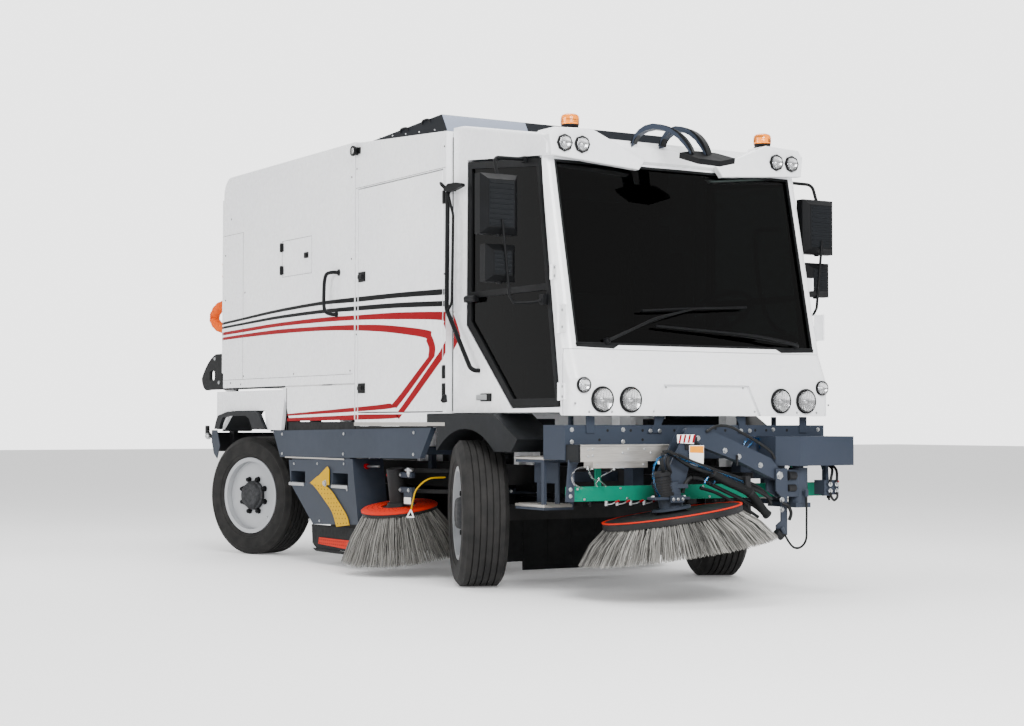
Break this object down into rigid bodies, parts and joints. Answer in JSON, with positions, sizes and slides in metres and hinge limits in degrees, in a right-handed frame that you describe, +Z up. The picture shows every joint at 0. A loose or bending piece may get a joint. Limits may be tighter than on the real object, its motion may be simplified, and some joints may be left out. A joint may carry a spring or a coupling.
{
  "type": "compact street sweeper truck",
  "caption": "Compact cab-over street sweeper truck with steered wheels, tipping hopper, side brushes and a raised front brush on a swinging arm.",
  "frame": {"origin": "on the ground, at the middle of the whole length and width, tyres standing on z = 0", "axes": "+Z up; the front faces -Y; +X is the vehicle's left"},
  "size_m": [2.796, 6.5375, 3.162],
  "materials": {
    "axle_front": "satin",
    "axle_rear": "satin",
    "brush_housing": "satin",
    "bumper_beam": "satin",
    "cab_glass": "clear",
    "cab_rails": "satin",
    "cab_roof": "gloss",
    "cab_shell": "gloss",
    "cab_steps": "satin",
    "chassis_frame": "satin",
    "cross_brush": "bristle",
    "dashboard": "matt",
    "door_glass_left": "clear",
    "door_glass_right": "clear",
    "door_left": "gloss",
    "door_mirrors_left": "matt",
    "door_mirrors_right": "matt",
    "door_right": "gloss",
    "engine_bay": "gloss",
    "engine_block": "matt",
    "engine_door_left": "gloss",
    "engine_door_right": "gloss",
    "frame_members": "satin",
    "front_arm": "satin",
    "front_arm_base": "satin",
    "front_brush": "bristle",
    "front_brush_head": "satin",
    "front_panel": "gloss",
    "hopper_rear_door": "gloss",
    "hopper_rear_frame": "gloss",
    "hopper_shell": "gloss",
    "knuckle_front_left": "matt",
    "knuckle_front_right": "matt",
    "knuckle_rear_left": "matt",
    "knuckle_rear_right": "matt",
    "lamps": "clear lens",
    "lift_barrels": "gloss",
    "lift_rods": "polished",
    "loop_hose": "matt",
    "lower_panels": "gloss",
    "rear_horns": "matt",
    "rim_front_left": "satin",
    "rim_front_right": "satin",
    "rim_rear_left": "satin",
    "rim_rear_right": "satin",
    "roof_cowl": "satin",
    "seats": "matt",
    "side_arm_left": "satin",
    "side_arm_mounts": "satin",
    "side_arm_right": "satin",
    "side_brush_left": "satin",
    "side_brush_right": "satin",
    "side_skirts": "satin",
    "spray_bar": "satin",
    "tyre_front_left": "matt",
    "tyre_front_right": "matt",
    "tyre_rear_left": "matt",
    "tyre_rear_right": "matt",
    "valve_box": "brushed",
    "wheel_arches": "satin"
  },
  "bodies": {
    "chassis": {"axle_front": "axle_front", "axle_rear": "axle_rear", "brush_housing": "brush_housing", "bumper_beam": "bumper_beam", "cab_glass": "cab_glass", "cab_rails": "cab_rails", "cab_roof": "cab_roof", "cab_shell": "cab_shell", "cab_steps": "cab_steps", "chassis_frame": "chassis_frame", "dashboard": "dashboard", "engine_bay": "engine_bay", "engine_block": "engine_block", "frame_members": "frame_members", "front_panel": "front_panel", "lamps": "lamps", "lower_panels": "lower_panels", "roof_cowl": "roof_cowl", "seats": "seats", "side_arm_mounts": "side_arm_mounts", "side_skirts": "side_skirts", "spray_bar": "spray_bar", "valve_box": "valve_box", "wheel_arches": "wheel_arches"},
    "front_arm_base": {"front_arm_base": "front_arm_base", "loop_hose": "loop_hose"},
    "front_arm": {"front_arm": "front_arm"},
    "front_brush_head": {"front_brush_head": "front_brush_head"},
    "front_brush": {"front_brush": "front_brush"},
    "cross_brush": {"cross_brush": "cross_brush"},
    "hopper": {"hopper_shell": "hopper_shell", "hopper_rear_frame": "hopper_rear_frame"},
    "hopper_rear_door": {"hopper_rear_door": "hopper_rear_door", "rear_horns": "rear_horns"},
    "lift_barrels": {"lift_barrels": "lift_barrels"},
    "lift_rods": {"lift_rods": "lift_rods"},
    "door_right": {"door_right": "door_right", "door_glass_right": "door_glass_right", "door_mirrors_right": "door_mirrors_right"},
    "engine_door_right": {"engine_door_right": "engine_door_right"},
    "side_arm_right": {"side_arm_right": "side_arm_right"},
    "side_brush_right": {"side_brush_right": "side_brush_right"},
    "knuckle_front_right": {"knuckle_front_right": "knuckle_front_right"},
    "wheel_front_right": {"rim_front_right": "rim_front_right", "tyre_front_right": "tyre_front_right"},
    "knuckle_rear_right": {"knuckle_rear_right": "knuckle_rear_right"},
    "wheel_rear_right": {"rim_rear_right": "rim_rear_right", "tyre_rear_right": "tyre_rear_right"},
    "door_left": {"door_left": "door_left", "door_glass_left": "door_glass_left", "door_mirrors_left": "door_mirrors_left"},
    "engine_door_left": {"engine_door_left": "engine_door_left"},
    "side_arm_left": {"side_arm_left": "side_arm_left"},
    "side_brush_left": {"side_brush_left": "side_brush_left"},
    "knuckle_front_left": {"knuckle_front_left": "knuckle_front_left"},
    "wheel_front_left": {"rim_front_left": "rim_front_left", "tyre_front_left": "tyre_front_left"},
    "knuckle_rear_left": {"knuckle_rear_left": "knuckle_rear_left"},
    "wheel_rear_left": {"rim_rear_left": "rim_rear_left", "tyre_rear_left": "tyre_rear_left"}
  },
  "joints": [
    {"name": "steer_front_right", "type": "hinge", "parent": "chassis", "child": "knuckle_front_right", "pos_m": [-0.82, -1.299, 0.475], "axis": [0, 0, 1], "range_deg": [-5, 51]},
    {"name": "roll_front_right", "type": "hinge", "parent": "knuckle_front_right", "child": "wheel_front_right", "pos_m": [-0.93046, -1.25211, 0.475], "axis": [0.9205, -0.3907, 0], "continuous": true},
    {"name": "steer_front_left", "type": "hinge", "parent": "chassis", "child": "knuckle_front_left", "pos_m": [0.82, -1.299, 0.475], "axis": [0, 0, 1], "range_deg": [-5, 51]},
    {"name": "roll_front_left", "type": "hinge", "parent": "knuckle_front_left", "child": "wheel_front_left", "pos_m": [0.93046, -1.34589, 0.475], "axis": [0.9205, -0.3907, 0], "continuous": true},
    {"name": "steer_rear_right", "type": "hinge", "parent": "chassis", "child": "knuckle_rear_right", "pos_m": [-0.805, 2.291, 0.475], "axis": [0, 0, 1], "range_deg": [-42.2, 4.2]},
    {"name": "roll_rear_right", "type": "hinge", "parent": "knuckle_rear_right", "child": "wheel_rear_right", "pos_m": [-0.91846, 2.25193, 0.475], "axis": [0.9455, 0.3256, 0], "continuous": true},
    {"name": "steer_rear_left", "type": "hinge", "parent": "chassis", "child": "knuckle_rear_left", "pos_m": [0.805, 2.291, 0.475], "axis": [0, 0, 1], "range_deg": [-42.2, 4.2]},
    {"name": "roll_rear_left", "type": "hinge", "parent": "knuckle_rear_left", "child": "wheel_rear_left", "pos_m": [0.91846, 2.33007, 0.475], "axis": [0.9455, 0.3256, 0], "continuous": true},
    {"name": "door_right_hinge", "type": "hinge", "parent": "chassis", "child": "door_right", "pos_m": [-0.9775, -2.32825, 1.165], "axis": [0, 0.1475, 0.9891], "range_deg": [0, 72]},
    {"name": "engine_door_right_hinge", "type": "hinge", "parent": "chassis", "child": "engine_door_right", "pos_m": [-1.03, -0.971, 1.132], "axis": [0, 0, 1], "range_deg": [0, 100]},
    {"name": "side_arm_right_swing", "type": "hinge", "parent": "chassis", "child": "side_arm_right", "pos_m": [-0.56, -0.689, 0.6], "axis": [0, 0, 1], "range_deg": [-6, 18]},
    {"name": "side_brush_right_spin", "type": "hinge", "parent": "side_arm_right", "child": "side_brush_right", "pos_m": [-0.93, -0.159, 0.478], "axis": [-0.1443, -0.0543, 0.988], "continuous": true},
    {"name": "door_left_hinge", "type": "hinge", "parent": "chassis", "child": "door_left", "pos_m": [0.9775, -2.32825, 1.165], "axis": [0, -0.1475, -0.9891], "range_deg": [0, 72]},
    {"name": "engine_door_left_hinge", "type": "hinge", "parent": "chassis", "child": "engine_door_left", "pos_m": [1.03, -0.971, 1.132], "axis": [0, 0, -1], "range_deg": [0, 100]},
    {"name": "side_arm_left_swing", "type": "hinge", "parent": "chassis", "child": "side_arm_left", "pos_m": [0.56, -0.689, 0.6], "axis": [0, 0, -1], "range_deg": [-6, 18]},
    {"name": "side_brush_left_spin", "type": "hinge", "parent": "side_arm_left", "child": "side_brush_left", "pos_m": [0.93, -0.159, 0.478], "axis": [0.1443, -0.0543, 0.988], "continuous": true},
    {"name": "hopper_tip", "type": "hinge", "parent": "chassis", "child": "hopper", "pos_m": [0, 2.931, 1.38], "axis": [-1, 0, 0], "range_deg": [0, 50]},
    {"name": "rear_door_hinge", "type": "hinge", "parent": "hopper", "child": "hopper_rear_door", "pos_m": [0, 2.815, 2.942], "axis": [1, 0, 0], "range_deg": [0, 80]},
    {"name": "lift_tilt", "type": "hinge", "parent": "chassis", "child": "lift_barrels", "pos_m": [0, 1.551, 0.86], "axis": [1, 0, 0], "range_deg": [0, 19.7]},
    {"name": "lift_stroke", "type": "slide", "parent": "lift_barrels", "child": "lift_rods", "axis": [0, 0.8675, 0.4975], "range_m": [0, 0.497]},
    {"name": "front_arm_swing", "type": "hinge", "parent": "chassis", "child": "front_arm_base", "pos_m": [0.64, -2.599, 0.65], "axis": [0, 0, 1], "range_deg": [0, 130]},
    {"name": "front_arm_lift", "type": "hinge", "parent": "front_arm_base", "child": "front_arm", "pos_m": [0.44, -2.609, 0.735], "axis": [0, 1, 0], "range_deg": [-15.5, 0]},
    {"name": "front_head_level", "type": "hinge", "parent": "front_arm", "child": "front_brush_head", "pos_m": [-0.23, -2.609, 1], "axis": [0, 1, 0], "range_deg": [0, 15.5]},
    {"name": "front_brush_spin", "type": "hinge", "parent": "front_brush_head", "child": "front_brush", "pos_m": [-0.388, -2.649, 0.521], "axis": [-0.1315, 0.0682, 0.989], "continuous": true},
    {"name": "cross_brush_spin", "type": "hinge", "parent": "chassis", "child": "cross_brush", "pos_m": [0, 1.141, 0.305], "axis": [1, 0, 0], "continuous": true}
  ],
  "couplings": [
    {"joint": "steer_front_left", "follows": "steer_front_right", "ratio": 1},
    {"joint": "steer_rear_right", "follows": "steer_front_right", "ratio": -0.82609},
    {"joint": "steer_rear_left", "follows": "steer_front_right", "ratio": -0.82609},
    {"joint": "lift_tilt", "follows": "hopper_tip", "ratio": 0.39348},
    {"joint": "lift_stroke", "follows": "hopper_tip", "m_per_rad": 0.5673},
    {"joint": "front_head_level", "follows": "front_arm_lift", "ratio": -1}
  ]
}
